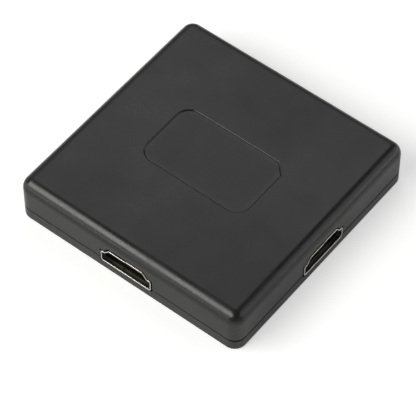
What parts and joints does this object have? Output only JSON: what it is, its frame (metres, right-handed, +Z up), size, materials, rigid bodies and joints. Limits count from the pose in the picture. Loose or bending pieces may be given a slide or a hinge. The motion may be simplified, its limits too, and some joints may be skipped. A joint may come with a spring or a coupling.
{
  "type": "hdmi switch",
  "caption": "Flat square black video switch box with wide-mouthed sockets in the middle of its sides, a select button at the back and a blank label recess on top.",
  "frame": {"origin": "middle of the underside of the box", "axes": "+Z up, -Y towards the front socket, +Y towards the select button, +X towards the right socket"},
  "size_m": [0.0642, 0.0649, 0.0122],
  "materials": {
    "case_plastic": "fine matt texture, moulded black ABS",
    "label_film": "smooth matt blank film",
    "button_plastic": "satin black",
    "screw_steel": "blackened steel",
    "nickel_plate": "satin nickel plate on thin steel",
    "socket_plastic": "black moulded insulator",
    "gold_plate": "gold flash on copper alloy",
    "board_laminate": "green solder-masked laminate",
    "chip_resin": "black moulding resin",
    "tinned_metal": "tinned copper alloy",
    "can_aluminium": "drawn can",
    "capacitor_ceramic": "tan ceramic",
    "resistor_ceramic": "glazed black film on ceramic",
    "switch_plastic": "black moulded housing",
    "switch_sheet": "bright pressed sheet",
    "plunger_plastic": "natural white",
    "light_body": "white reflector body",
    "clear_plastic": "clear moulded acrylic"
  },
  "bodies": {
    "casing": {"upper_shell": "case_plastic", "bottom_cover": "case_plastic", "label_film": "label_film", "case_screws": "screw_steel", "circuit_board": "board_laminate", "switch_chip": "chip_resin", "switch_chip_leads": "tinned_metal", "control_chip": "chip_resin", "control_chip_leads": "tinned_metal", "voltage_regulator": "chip_resin", "regulator_leads": "tinned_metal", "bulk_capacitor_base": "chip_resin", "bulk_capacitor_can": "can_aluminium", "protection_arrays": "chip_resin", "supply_diodes": "chip_resin", "diode_ends": "tinned_metal", "ceramic_capacitors": "capacitor_ceramic", "capacitor_ends": "tinned_metal", "chip_resistors": "resistor_ceramic", "resistor_ends": "tinned_metal", "tact_switch_housing": "switch_plastic", "tact_switch_frame": "switch_sheet", "tact_switch_dome": "switch_sheet", "tact_switch_pins": "tinned_metal", "status_led_left": "light_body", "status_led_right": "light_body", "light_pipe_left": "clear_plastic", "light_pipe_right": "clear_plastic", "socket_shell_front": "nickel_plate", "socket_insulator_front": "socket_plastic", "socket_contacts_front": "gold_plate", "socket_shell_right": "nickel_plate", "socket_insulator_right": "socket_plastic", "socket_contacts_right": "gold_plate", "socket_shell_left": "nickel_plate", "socket_insulator_left": "socket_plastic", "socket_contacts_left": "gold_plate"},
    "button": {"select_button": "button_plastic", "tact_switch_plunger": "plunger_plastic"}
  },
  "joints": [
    {"name": "button_press", "type": "slide", "parent": "casing", "child": "button", "axis": [0, -1, 0], "range_m": [0, 0.00035], "stiffness_N_per_m": 2500, "springref_m": -0.0003, "deforming": ["tact_switch_dome"]}
  ]
}
